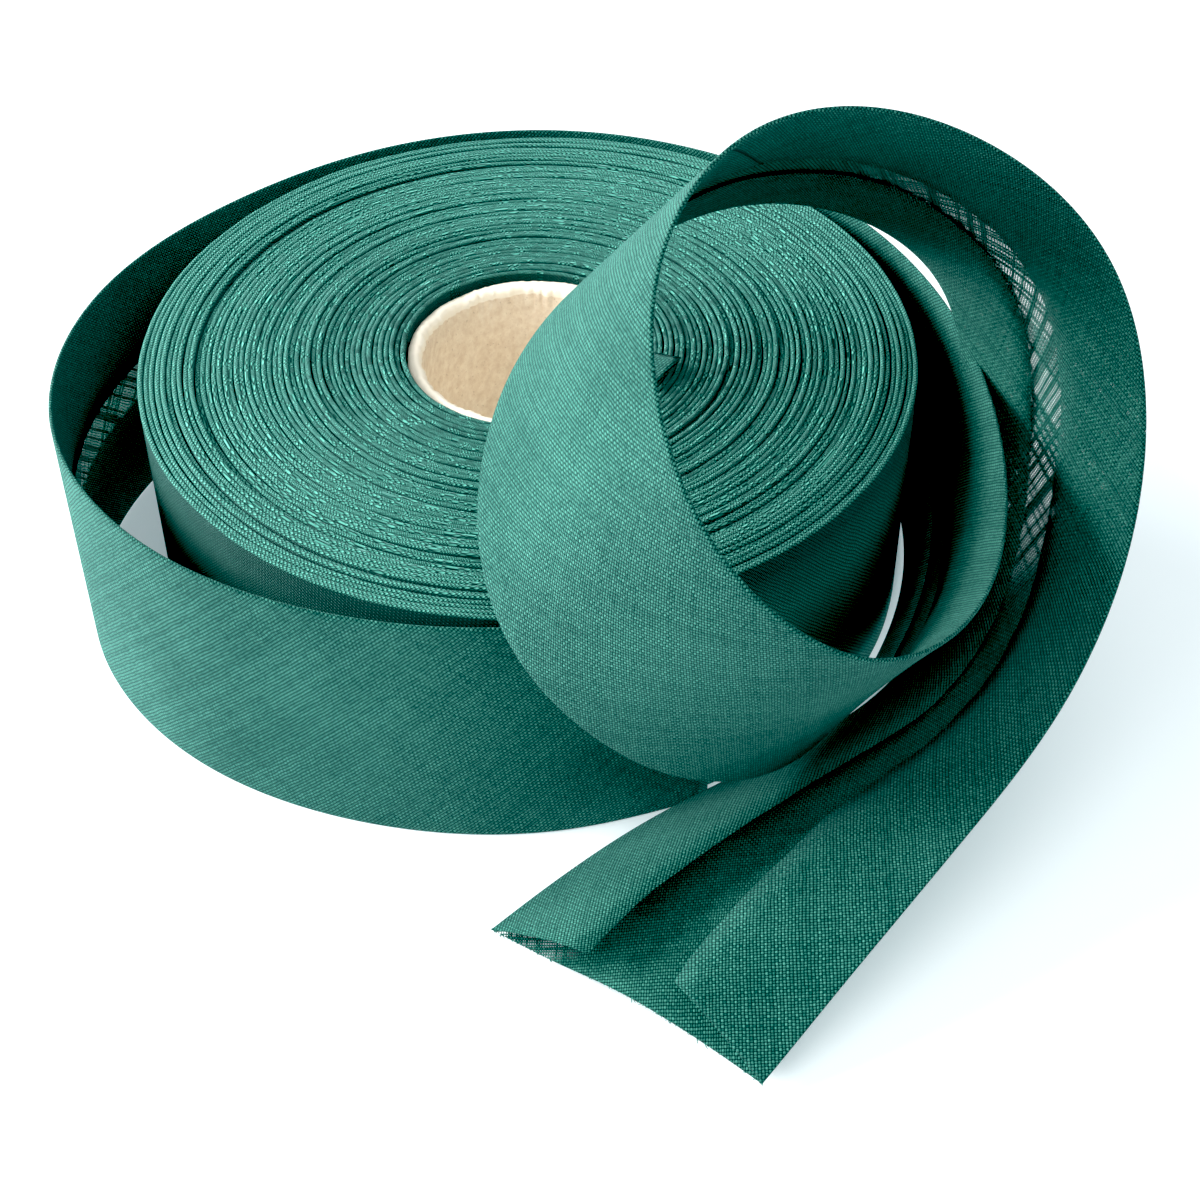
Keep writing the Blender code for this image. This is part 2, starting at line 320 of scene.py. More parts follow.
def cotton_material(name, sheer, lift):
    """The binding's cotton. Lift makes it paler, as painted light; where it is sheer, light comes through,
    and where it isn't, the sides below each crest get painted shade.
    """
    material, tree, shader = new_material(name)
    height, tone, speck, hole, left, across = weave(tree)
    place = add_node(tree, "ShaderNodeTexCoord").outputs["Object"]
    cloud = noise(tree, place, 60.0, 5.0)
    fuzz = noise(tree, place, 2200.0, 2.0, 0.7)
    mixture = calc(tree, "MULTIPLY", tone, TONE_SHARE)
    for part, share in ((cloud, CLOUD_SHARE), (speck, SPECK_SHARE), (fuzz, FUZZ_SHARE)):
        mixture = calc(tree, "ADD", mixture, calc(tree, "MULTIPLY", part, share))
    # painted light: lift makes the cotton paler all over, for the lit crests of the wound turns
    paleness = remap(tree, mixture, PALE_FROM - lift, PALE_TO - lift)
    tinted = blend_colours(tree, paleness, COTTON, COTTON_LIGHT)
    # painted shade: where the weave's height is low, in the gaps between threads, the colour is drawn dark
    depth = remap(tree, height, 0.12, 0.72, 1.0, 0.0)
    coloured = blend_colours(tree, depth, tinted, COTTON_SHADE_AND_SEAM)
    if not sheer:
        # painted shade: each turn's sides below its crest are drawn darker, as shade between the turns and
        # on the roll's side
        dip_shade = window(tree, calc(tree, "ABSOLUTE", across), CREST_SHADE_BAND)
        shaded = calc(tree, "MULTIPLY", dip_shade, CREST_PAINTED_SHADE)
        coloured = blend_colours(tree, shaded, coloured, COTTON_SHADE_AND_SEAM)
    else:
        join = join_line(tree, left, across)
        shaded = calc(tree, "MULTIPLY", join, JOIN_DARKNESS)
        coloured = blend_colours(tree, shaded, coloured, COTTON_SHADE_AND_SEAM)
        height = calc(tree, "SUBTRACT", height, calc(tree, "MULTIPLY", join, 2.0))
    feed(tree, shader.inputs["Base Color"], coloured)
    shader.inputs["Roughness"].default_value = 0.82
    shader.inputs["Specular IOR Level"].default_value = 0.12
    shader.inputs["Sheen Weight"].default_value = 0.30
    shader.inputs["Sheen Roughness"].default_value = 0.40
    shader.inputs["Sheen Tint"].default_value = SHEEN_TINT
    bump = add_node(tree, "ShaderNodeBump")
    bump.inputs["Strength"].default_value = 1.0
    bump.inputs["Distance"].default_value = WEAVE_DEPTH
    feed(tree, bump.inputs["Height"], height)
    feed(tree, shader.inputs["Normal"], bump.outputs[0])
    if sheer:
        through = add_node(tree, "ShaderNodeBsdfTranslucent")
        feed(tree, through.inputs["Color"], coloured)
        thread = add_node(tree, "ShaderNodeMixShader")
        thread.inputs[0].default_value = THREAD_GLOW
        feed(tree, thread.inputs[1], shader.outputs[0])
        feed(tree, thread.inputs[2], through.outputs[0])
        clear = add_node(tree, "ShaderNodeBsdfTransparent")
        holed = add_node(tree, "ShaderNodeMixShader")
        opened = calc(tree, "MULTIPLY", hole, open_share(tree, speck, left, across))
        feed(tree, holed.inputs[0], opened)
        feed(tree, holed.inputs[1], thread.outputs[0])
        feed(tree, holed.inputs[2], clear.outputs[0])
        feed(tree, tree.nodes["Material Output"].inputs["Surface"], holed.outputs[0])
    return material


loose_cotton = cotton_material("loose cotton", sheer=True, lift=0.0)
wound_cotton = cotton_material("wound cotton", sheer=False, lift=WOUND_PAINTED_LIGHT)
threads = [round(10 * MM / pitch, 1) for pitch in (COARSE_PITCH, FINE_PITCH)]
print("threads to the centimetre, both ways:", threads)

# %% [markdown]
# The loose binding follows nearly the same route as the solid: first a turn on edge around the
# roll, given by bearings and radii, then the loop, given by points along its middle line. Each
# point of the loop also says which way the strip's upper edge lies, because a strip can twist
# as well as bend. A natural cubic spline runs through the rows, as a springy strip would.
#
# The rows of both tables come from least-squares fits to the binding's outline, made outside
# this file, then rounded and partly changed. They aren't worked out from a few driving
# dimensions, as a route should be. Two rows of the loop, the tight bend and coming down, lie up
# to 2 mm from the solid's, and the far side of the loop is a guess.

# %% The route of the loose binding
TAPE_WIDTH = 40.0 * MM
FLAP_WIDTH = 17.0 * MM
STANDING_CLEARANCE = 0.1 * MM

STANDING_TURN = (
    # (bearing in degrees clockwise from the front, radius in mm)
    (-24, 57.8),
    (-5, 58.3),
    (22, 61.0),
    (49, 65.8),
    (76, 68.8),
    (103, 65.7),
    (130, 60.0),
    (157, 57.9),
    (184, 57.5),
    (211, 57.8),
    (238, 59.5),
)

LOOP = (
    # (place, x, y, z in mm from the axis, edge bearing, edge rise in degrees)
    ("right side", 59.0, 11.0, 20.5, 18, 86),
    ("leaning out", 56.0, -35.5, 24.0, 3, 66),
    ("front corner", 42.5, -64.0, 31.5, -9, 53),
    ("front", 25.5, -76.0, 43.5, -23, 45),
    ("rising", 10.5, -72.5, 59.0, -32, 43),
    ("far left", 7.0, -49.0, 77.0, -45, 49),
    ("crown", 21.5, -25.5, 82.5, -47, 51),
    ("over the roll", 46.0, -11.5, 76.5, -52, 40),
    ("tight bend", 68.0, -12.0, 58.5, -60, 34),
    ("coming down", 71.0, -27.0, 36.5, -57, 33),
    ("reaching the table", 62.0, -47.5, 18.5, -62, 35),
    ("touching down", 44.0, -63.5, 11.5, -57, 24),
    ("lying", 28.5, -76.0, 8.0, -54, 11),
    ("cut end", 12.5, -89.0, 1.8, -48, -1),
)


def natural_spline(knots, values, where):
    """Read a natural cubic spline through the rows of values at the places in where."""
    count = len(knots)
    gaps = np.diff(knots)
    matrix = np.eye(count)
    sides = np.zeros_like(values)
    for i in range(1, count - 1):
        matrix[i, i - 1] = gaps[i - 1]
        matrix[i, i] = 2.0 * (gaps[i - 1] + gaps[i])
        matrix[i, i + 1] = gaps[i]
        steps = (values[i + 1] - values[i]) / gaps[i] - (values[i] - values[i - 1]) / gaps[i - 1]
        sides[i] = 6.0 * steps
    bends = np.linalg.solve(matrix, sides)
    k = np.clip(np.searchsorted(knots, where, side="right") - 1, 0, count - 2)
    ahead = (knots[k + 1] - where)[:, None]
    behind = (where - knots[k])[:, None]
    gap = gaps[k][:, None]
    curved = (bends[k] * ahead**3 + bends[k + 1] * behind**3) / (6.0 * gap)
    straight = (values[k] / gap - bends[k] * gap / 6.0) * ahead
    return curved + straight + (values[k + 1] / gap - bends[k + 1] * gap / 6.0) * behind


def route_rows():
    """Join the two tables into rows of x, y, z in metres, edge bearing and edge rise."""
    rows = []
    for bearing, radius in STANDING_TURN:
        angle = math.radians(bearing)
        place = (-radius * math.sin(angle) * MM, -radius * math.cos(angle) * MM)
        rows.append((*place, TAPE_WIDTH / 2 + STANDING_CLEARANCE, 0, 90))
    for _, x, y, z, bearing, rise in LOOP:
        rows.append((x * MM, y * MM, z * MM, bearing, rise))
    return np.array(rows)


def strip_frames(step):
    """Sections along the strip: middle, along, edge direction, inner side, distance."""
    rows = route_rows()
    chords = np.linalg.norm(np.diff(rows[:, :3], axis=0), axis=1)
    knots = np.concatenate([[0.0], np.cumsum(chords)])
    where = np.linspace(0.0, knots[-1], round(knots[-1] / step) + 1)
    read = natural_spline(knots, rows, where)
    middle = read[:, :3]
    along = np.gradient(middle, axis=0)
    steps = np.linalg.norm(np.diff(middle, axis=0), axis=1)
    distance = np.concatenate([[0.0], np.cumsum(steps)])
    along /= np.linalg.norm(along, axis=1)[:, None]
    bearing = np.radians(read[:, 3])
    rise = np.radians(read[:, 4])
    level = np.cos(rise)
    edge = np.stack([level * np.cos(bearing), level * np.sin(bearing), np.sin(rise)], axis=1)
    edge -= along * np.sum(edge * along, axis=1)[:, None]
    edge /= np.linalg.norm(edge, axis=1)[:, None]
    return middle, along, edge, np.cross(along, edge), distance


SECTION_STEP = 1.25 * MM
route = strip_frames(SECTION_STEP)
LOOSE_LENGTH = route[4][-1]
print("loose binding:", round(LOOSE_LENGTH, 4), "m long")

# %% [markdown]
# Cloth is never quite even. Instead of random points, a few sine waves with seeded phases
# give a wandering line that is smooth, repeats exactly on every run, and can be read at any
# place. The same helper makes the flaps waver, the turns rise and fall, and the rim ragged.

# %% A wandering line


def wander(place, wave, seed, octaves=4):
    """A smooth line between about -1 and 1 that wanders once in about a wavelength."""
    chance = np.random.default_rng(seed)
    place = np.asarray(place, dtype=float)
    total = np.zeros_like(place)
    reach = 0.0
    for octave in range(octaves):
        size = 0.62**octave
        length = wave * 0.53**octave * chance.uniform(0.85, 1.15)
        total += size * np.sin(2.0 * math.pi * (place / length + chance.uniform()))
        reach += size
    return total / reach * 1.5


def ease(distance, reach):
    """Rise smoothly from 0, at reach from the cut end, to 1 at the cut end."""
    x = np.clip(1.0 - distance / reach, 0.0, 1.0)
    return x * x * (3.0 - 2.0 * x)


print("a wandering line from", wander(0.0, 1.0, 1), "to", wander(1.0, 1.0, 1))

# %% [markdown]
# The strip is one thin sheet: a flap, a fold, the base, the other fold, the other flap. Its
# section is worked out flat, as pairs of distance across and height above the base, and then
# set in place by the frames of the route. A fold isn't a crease but a soft roll of cloth, so
# it is an arc. Towards the cut end the pressed folds have relaxed, and the flaps lift.
# The strip could be simulated, but a springy loop is hard to steer, so it is placed instead.

# %% The folded section
LAYER_GAP = 0.50 * MM      # from the base's middle to a flap's middle
SPREAD = 1.3 * MM          # extra width at the cut
SPREAD_LENGTH = 60 * MM
SLANT = 5.3 * MM           # how far the cut runs askew, at each edge
LOWER_SETBACK = 1.0 * MM   # how far each flap's free corner lies behind its fold
UPPER_SETBACK = 3.7 * MM
SLANT_LENGTH = 40 * MM
HOLLOW = 1.0 * MM          # how far the middle of the cut lies behind its corners
WAVE_LENGTH = 34 * MM
CUT_WAVE = (
    # (share of the half width from the lower to the upper edge, height of the base in mm)
    (-1.0, 0.6),
    (-0.60, -0.6),
    (-0.10, 1.3),
    (0.30, 1.5),
    (0.70, 0.7),
    (1.0, 0.0),
)
LOWER_FLAP_LIFT = math.radians(23.0)
UPPER_FLAP_LIFT = math.radians(20.0)
LIFT_LENGTH = 85 * MM
PRESSED_LIFT = 0.012       # in radians, where the flaps are still pressed down
LIFT_WAVER = 0.010
FLAP_WAVER = 0.35 * MM     # how far a flap's free edge strays from straight
FLAP_BULGE = 0.25 * MM
BULGE_WITH_LIFT = 0.18
FOLD_POINTS = 5
BASE_SHARES = (0.0, 0.14, 0.30, 0.50, 0.68, 0.82, 0.93)
FLAP_SHARES = (0.06, 0.18, 0.36, 0.56, 0.78, 1.0)


def half_section(half_width, lift, waver):
    """One half of the strip from its middle out to the fold and back along the flap.

    Each point is (across, height, distance across the unfolded strip, share of the flap).
    """
    radius = LAYER_GAP / 2
    reach = half_width - radius
    points = [(share * reach, 0.0, share * reach, 0.0) for share in BASE_SHARES]
    for i in range(FOLD_POINTS + 1):
        turn = math.pi * i / FOLD_POINTS * (1.0 - 0.5 * lift / math.pi)
        unfolded = reach + radius * math.pi * i / FOLD_POINTS
        points.append((reach + radius * math.sin(turn), radius * (1.0 - math.cos(turn)), unfolded, 0.0))
    fold_across, fold_height, fold_unfolded, _ = points[-1]
    flap = FLAP_WIDTH - radius + waver
    for share in FLAP_SHARES:
        out = share * flap
        bulge = (FLAP_BULGE + out * math.tan(lift) * BULGE_WITH_LIFT) * math.sin(math.pi * share)
        height = fold_height + out * math.sin(lift) + bulge
        points.append((fold_across - out * math.cos(lift), height, fold_unfolded + out, share))
    return points


def cut_wave(share):
    """How high the base stands at the cut, at a share of its half width."""
    rows = np.array(CUT_WAVE)
    held = np.clip([share], -1.0, 1.0)
    return float(natural_spline(rows[:, 0], rows[:, 1:], held)[0, 0]) * MM


def strip_section(left, place):
    """The whole section at a place: from the lower flap's free edge to the upper flap's.

    Each point is (across, height, distance across the unfolded strip, shift along the strip).
    """
    half_width = (TAPE_WIDTH + SPREAD * ease(left, SPREAD_LENGTH)) / 2
    lifted = ease(left, LIFT_LENGTH)
    upper_lift = UPPER_FLAP_LIFT * lifted + PRESSED_LIFT + LIFT_WAVER * float(wander(place, 0.11, 5))
    lower_lift = LOWER_FLAP_LIFT * lifted + PRESSED_LIFT + LIFT_WAVER * float(wander(place, 0.09, 6))
    upper = half_section(half_width, upper_lift, FLAP_WAVER * float(wander(place, 0.05, 7)))
    lower = half_section(half_width, lower_lift, FLAP_WAVER * float(wander(place, 0.06, 8)))
    askew = max(0.0, 1.0 - left / SLANT_LENGTH) ** 2
    waved = ease(left, WAVE_LENGTH)
    section = []
    for across, height, unfolded, share in reversed(lower[1:]):
        hollow = HOLLOW * (1.0 - min(1.0, across / half_width) ** 2)
        shift = askew * (SLANT * across / half_width - hollow - LOWER_SETBACK * share)
        raised = waved * cut_wave(-(across if share == 0.0 else half_width) / half_width)
        section.append((-across, height + raised, -unfolded, shift))
    for across, height, unfolded, share in upper:
        hollow = HOLLOW * (1.0 - min(1.0, across / half_width) ** 2)
        shift = askew * (-SLANT * across / half_width - hollow - UPPER_SETBACK * share)
        raised = waved * cut_wave((across if share == 0.0 else half_width) / half_width)
        section.append((across, height + raised, unfolded, shift))
    return section


section = strip_section(1.0, 0.0)

# %% [markdown]
# Now the sections become a mesh. Rows of points are joined by four-sided faces, the UV map
# gets the unfolded place of each point, and the Solidify modifier gives the cloth its real
# small thickness.

# %% The loose binding
CLOTH_THICKNESS = 0.08 * MM


def cloth_mesh(name, rows, uv_rows, material):
    """Join rows of points into a sheet with a UV map called strip."""
    across = len(rows[0])
    faces = []
    for i in range(len(rows) - 1):
        for j in range(across - 1):
            start = i * across + j
            faces.append((start, start + 1, start + across + 1, start + across))
    mesh = bpy.data.meshes.new(name)
    mesh.from_pydata([tuple(point) for row in rows for point in row], [], faces)
    layer = mesh.uv_layers.new(name="strip")
    flat = [uv for row in uv_rows for uv in row]
    for loop in mesh.loops:
        layer.data[loop.index].uv = flat[loop.vertex_index]
    mesh.materials.append(material)
    mesh.shade_smooth()
    obj = bpy.data.objects.new(name, mesh)
    bpy.context.scene.collection.objects.link(obj)
    return obj


def select_only(obj):
    """Deselect everything, then select one object and make it active."""
    bpy.ops.object.select_all(action="DESELECT")
    obj.select_set(True)
    bpy.context.view_layer.objects.active = obj


def apply_modifiers(obj):
    """Make the modifiers' result the mesh."""
    select_only(obj)
    for modifier in list(obj.modifiers):
        bpy.ops.object.modifier_apply(modifier=modifier.name)


def thicken(obj, thickness):
    """Give a sheet its thickness, half to each side."""
    solid = obj.modifiers.new("thickness", "SOLIDIFY")
    solid.thickness = thickness
    solid.offset = 0.0
    solid.use_even_offset = False
    apply_modifiers(obj)


def loose_binding():
    """The sprung turn, the loop and the cut end, as one folded sheet."""
    rows = []
    uv_rows = []
    for middle, along, edge, inner, place in zip(*route):
        left = LOOSE_LENGTH - place
        row = []
        uv_row = []
        for across, height, unfolded, shift in strip_section(left, place):
            point = middle + edge * across + inner * (height - LAYER_GAP / 2) + along * shift
            row.append(Vector(point) + AXIS)
            uv_row.append((left - shift, unfolded))
        rows.append(row)
        uv_rows.append(uv_row)
    obj = cloth_mesh("loose_binding", rows, uv_rows, loose_cotton)
    thicken(obj, CLOTH_THICKNESS)
    return obj, rows[-1]


loose, cut_row = loose_binding()
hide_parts("loose_tape")
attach(loose, "root")
print("loose binding:", len(loose.data.polygons), "faces")

# %% [markdown]
# A cut across the bias frees short ends of thread, because both sets of threads end there.
# They leave the edge at 45 degrees to the strip, to one side or the other, and curl a little.
# Each is a thin four-sided tube along a short curve, and all of them are one piece. Hair
# curves could grow them, but a few dozen are simple to place, and most stay very short.

# %% The frayed threads
THREAD_RADIUS = 0.07 * MM
FRAYS = (
    # (first and last share along the cut row, how many, shortest and longest in mm)
    (0.28, 0.76, 90, 0.15, 0.4),
    (0.28, 0.36, 10, 0.3, 0.6),
    (0.50, 0.60, 16, 0.3, 0.7),
    (0.00, 0.27, 24, 0.1, 0.3),
    (0.75, 1.00, 24, 0.1, 0.3),
)
FRAY_SEED = 41
FRAY_POINTS = 5
TUBE_SIDES = 4


def fray_path(chance, share, length):
    """The points of one freed thread, from just inside the cut edge outwards."""
    place = share * (len(cut_row) - 1)
    k = min(int(place), len(cut_row) - 2)
    start = cut_row[k].lerp(cut_row[k + 1], place - k)
    along = Vector(route[1][-1])
    beside = (cut_row[k + 1] - cut_row[k]).normalized() * chance.choice((-1.0, 1.0))
    up = Vector(route[3][-1])
    droop = chance.normal() * 0.35
    curl = chance.normal() * 0.5
    points = []
    for i in range(FRAY_POINTS):
        out = length * i / (FRAY_POINTS - 1)
        bend = (i / (FRAY_POINTS - 1)) ** 2 * length
        point = start - along * 0.15 * MM + (along + beside * 0.8).normalized() * out
        point += beside * curl * bend + up * droop * bend
        point.z = max(point.z, 2.0 * THREAD_RADIUS)
        points.append(point)
    return points


def frayed_threads():
    """All the freed threads at the cut, as one mesh of thin tubes."""
    chance = np.random.default_rng(FRAY_SEED)
    points = []
    faces = []
    for low, high, number, shortest, longest in FRAYS:
        for _ in range(number):
            path = fray_path(chance, chance.uniform(low, high), chance.uniform(shortest, longest) * MM)
            first = len(points)
            for i, point in enumerate(path):
                ahead = (path[min(i + 1, FRAY_POINTS - 1)] - path[max(i - 1, 0)]).normalized()
                side = ahead.cross(Vector((0.0, 0.0, 1.0))).normalized()
                up = side.cross(ahead)
                radius = THREAD_RADIUS * (1.0 - 0.5 * i / (FRAY_POINTS - 1))
                for corner in range(TUBE_SIDES):
                    angle = 2.0 * math.pi * corner / TUBE_SIDES
                    sideways = side * radius * math.cos(angle)
                    points.append(point + sideways + up * radius * math.sin(angle))
            for i in range(FRAY_POINTS - 1):
                for corner in range(TUBE_SIDES):
                    a = first + i * TUBE_SIDES + corner
                    b = first + i * TUBE_SIDES + (corner + 1) % TUBE_SIDES
                    faces.append((a, b, b + TUBE_SIDES, a + TUBE_SIDES))
            last = first + (FRAY_POINTS - 1) * TUBE_SIDES
            faces.append(tuple(first + TUBE_SIDES - 1 - corner for corner in range(TUBE_SIDES)))
            faces.append(tuple(last + corner for corner in range(TUBE_SIDES)))
    mesh = bpy.data.meshes.new("frayed_threads")
    mesh.from_pydata([tuple(point) for point in points], [], faces)
    mesh.materials.append(thread_cotton)
    obj = bpy.data.objects.new("frayed_threads", mesh)
    bpy.context.scene.collection.objects.link(obj)
    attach(obj, "root")
    return obj


def plain_thread():
    """The cotton without its weave, for a single thread."""
    material, _, shader = new_material("loose thread")
    shader.inputs["Base Color"].default_value = COTTON
    shader.inputs["Roughness"].default_value = 0.85
    shader.inputs["Specular IOR Level"].default_value = 0.12
    return material


thread_cotton = plain_thread()
frays = frayed_threads()
print("frayed threads:", len(frays.data.polygons), "faces")

# %% [markdown]
# At the middle of the roll the strip's inner end has one corner folded out over the first
# turns. It is a small double triangle of cloth: down one layer, round the fold, up the other.

# %% The inner end
TAB_INNER = Vector((16.3, -3.0, 40.9)) * MM     # the two ends of the fold, from the axis
TAB_TIP = Vector((21.8, -6.1, 41.9)) * MM
TAB_FOOT = Vector((17.3, -11.8, 40.8)) * MM     # the corner where the two layers meet
TAB_GAP = 0.45 * MM
TAB_ROWS = 7
TAB_POINTS = 7
TAB_UV = 300 * MM          # where the corner's weave starts on the UV map
TAB_BULGE = 0.25 * MM


def inner_end():
    """The folded corner, as rows from the foot of the lower layer round to the upper one."""
    rows = []
    uv_rows = []
    for i in range(-TAB_ROWS, TAB_ROWS + 1):
        share = min(abs(i) / TAB_ROWS, 0.96)
        left = TAB_INNER.lerp(TAB_FOOT, share)
        right = TAB_TIP.lerp(TAB_FOOT, share)
        lift = TAB_GAP * (-0.5 if i < 0 else 0.5 if i > 0 else 0.0)
        bulge = TAB_BULGE * math.sin(math.pi * share) * (1.0 if i > 0 else 0.0)
        out = (TAB_INNER - TAB_FOOT).normalized() * (TAB_BULGE if i == 0 else 0.0)
        row = []
        uv_row = []
        for k in range(TAB_POINTS):
            point = left.lerp(right, k / (TAB_POINTS - 1)) + out
            row.append(AXIS + point + Vector((0.0, 0.0, lift + bulge)))
            uv_row.append((TAB_UV + point.x, point.y))
        rows.append(row)
        uv_rows.append(uv_row)
    obj = cloth_mesh("inner_end", rows, uv_rows, loose_cotton)
    thicken(obj, CLOTH_THICKNESS)
    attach(obj, "root")
    return obj


tab = inner_end()
print("inner end:", len(tab.data.polygons), "faces")

# %% [markdown]
# The wound turns are the same strip, seen on edge: each turn shows only the round crest of its
# fold. Flat rings would look like a machined part. The real thing is one spiral whose turns lie
# unevenly: some stand a little higher, some leave a dark gap, and a few slack ones make a
# groove. So the spiral is walked point by point, with wandering heights and gaps, and at each
# point it has the section of a closed band with a rounded crest. Their gaps are dark partly from
# real shade and partly from painted shade: the cotton is drawn darker on each turn's sides below
# its crest, and so on the roll's outer side. The pitch, and with it the number of turns, is an
# estimate. The spiral's outer end isn't joined to the loose binding: the two end side by side,
# 0.7 mm apart, below the loop. Going round clockwise, the spiral winds inwards, while the loose
# binding leads away from the roll. For one unbroken strip the spiral would have to be wound the
# other way round.

# %% The wound turns
ROLL_RADIUS = 56.8 * MM
BORE_RADIUS = 18.15 * MM
TURN_PITCH = 0.80 * MM
TURN_COUNT = int((ROLL_RADIUS - BORE_RADIUS) / TURN_PITCH)
TURN_CHORD = 1.0 * MM
FEWEST_CHORDS = 90
FOOT_HEIGHT = 0.05 * MM    # the turns' lower edges, above the table
START_BEARING = -26.0

BANDS = (
    # (radius in mm from which the turns stand so high, offset in mm)
    (18.0, -0.35),
    (20.5, 0.0),
    (26.0, -0.25),
    (31.5, 0.1),
    (37.0, -0.2),
    (42.5, 0.1),
    (48.3, -0.9),
    (49.2, 0.0),
    (53.0, -0.15),
)

CREST = (
    # (share of the turn's thickness, drop below the crest in mm)
    (0.97, 1.6),
    (1.0, 0.36),
    (0.94, 0.14),
    (0.78, 0.03),
    (0.5, 0.0),
    (0.22, 0.03),
    (0.06, 0.14),
    (0.0, 0.36),
    (0.03, 1.6),
)


def band_offset(radius):
    """How high the turns at a radius stand, blended softly from band to band."""
    starts = np.array([row[0] for row in BANDS]) * MM
    offsets = np.array([row[1] for row in BANDS]) * MM
    return np.interp(radius, starts + 0.25 * MM, offsets)


TURN_CHANCE = {seed: np.random.default_rng(seed).normal(size=TURN_COUNT + 3) for seed in (21, 22)}


def per_turn(place, seed):
    """A random number for each turn, blended from one turn to the next."""
    chance = TURN_CHANCE[seed]
    turns = place / (2.0 * math.pi)
    whole = int(turns)
    share = turns - whole
    share = share * share * (3.0 - 2.0 * share)
    return chance[whole] * (1.0 - share) + chance[whole + 1] * share


def spiral_ring(place):
    """The section at a place on the spiral: pairs of radius and height, and the outer radius."""
    line = ROLL_RADIUS - place / (2.0 * math.pi) * TURN_PITCH
    thickness = TURN_PITCH * (0.93 + 0.05 * float(np.clip(per_turn(place, 21), -1.8, 1.0)))
    thickness -= TURN_PITCH * 0.10 * max(0.0, float(wander(place, 5.3, 15)) - 0.2)
    sway = 0.07 * float(wander(place, 2.9, 11)) + 0.03 * float(wander(place, 0.5, 12))
    outer = line + TURN_PITCH * sway
    top = TAPE_WIDTH + band_offset(line) + 0.13 * MM * float(per_turn(place, 22))
    top += 0.12 * MM * float(wander(place, 3.7, 13)) + 0.04 * MM * float(wander(place, 0.31, 14))
    inner = outer - thickness
    ring = [(outer, FOOT_HEIGHT)]
    ring += [(inner + thickness * share, top - drop * MM) for share, drop in CREST]
    ring += [(inner, FOOT_HEIGHT)]
    return ring, outer


def spiral_places(first_turn, last_turn):
    """Places along the spiral, in radians, close enough for round turns."""
    places = []
    for number in range(first_turn, last_turn):
        radius = ROLL_RADIUS - number * TURN_PITCH
        count = max(FEWEST_CHORDS, round(2.0 * math.pi * radius / TURN_CHORD))
        places += [(number + i / count) * 2.0 * math.pi for i in range(count)]
    return places + [last_turn * 2.0 * math.pi]


def wound_piece(name, first_turn, last_turn):
    """A stretch of the spiral as one closed mesh, with its two end faces set apart."""
    points = []
    coords = []
    faces = []
    crest_middle = len(CREST) // 2 + 1
    places = spiral_places(first_turn, last_turn)
    for place in places:
        ring, outer = spiral_ring(place)
        angle = math.radians(270.0 - START_BEARING) - place
        level = Vector((math.cos(angle), math.sin(angle), 0.0))
        climbed = [0.0]
        for before, after in zip(ring, ring[1:]):
            climbed.append(climbed[-1] + math.dist(before, after))
        for (radius, height), distance in zip(ring, climbed):
            points.append(AXIS + level * radius + Vector((0.0, 0.0, height)))
            coords.append((place * outer, distance - climbed[crest_middle]))
    size = len(CREST) + 2
    for i in range(len(places) - 1):
        for k in range(size):
            a = i * size + k
            b = i * size + (k + 1) % size
            faces.append((a, a + size, b + size, b))
    last = (len(places) - 1) * size
    for ring_start, turn in ((0, 1), (last, -1)):
        copy = len(points)
        points += points[ring_start:ring_start + size]
        coords += coords[ring_start:ring_start + size]
        faces.append(tuple(range(copy, copy + size))[::turn])
    mesh = bpy.data.meshes.new(name)
    mesh.from_pydata([tuple(point) for point in points], [], faces)
    layer = mesh.uv_layers.new(name="strip")
    for loop in mesh.loops:
        layer.data[loop.index].uv = coords[loop.vertex_index]
    mesh.materials.append(wound_cotton)
    mesh.shade_smooth()
    obj = bpy.data.objects.new(name, mesh)
    bpy.context.scene.collection.objects.link(obj)
    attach(obj, "root")
    return obj


TURNS_IN_PIECE = 12
wound = []
for start in range(0, TURN_COUNT, TURNS_IN_PIECE):
    stop = min(start + TURNS_IN_PIECE, TURN_COUNT)
    wound.append(wound_piece(f"wound_turns_{len(wound) + 1}", start, stop))
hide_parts("wound_roll")
wound_faces = sum(len(obj.data.polygons) for obj in wound)
print(TURN_COUNT, "turns in", len(wound), "pieces,", wound_faces, "faces")

# %% [markdown]
# The core is a tube of grey-brown board, wound from paper and cut off roughly, so its rim is
# pale and torn. It starts as a circle. Extruding the circle's edge and resizing it walks
# around the wall's section, and the last loop is bridged to the first. The rim's inner edge
# is then torn in code, by moving its points along wandering lines.

# %% The cardboard
CREAM = (0.95, 0.88, 0.73, 1.0)
KRAFT = (0.89, 0.79, 0.63, 1.0)
KRAFT_DARK = (0.74, 0.61, 0.46, 1.0)
KRAFT_FLECK = (0.34, 0.24, 0.15, 1.0)


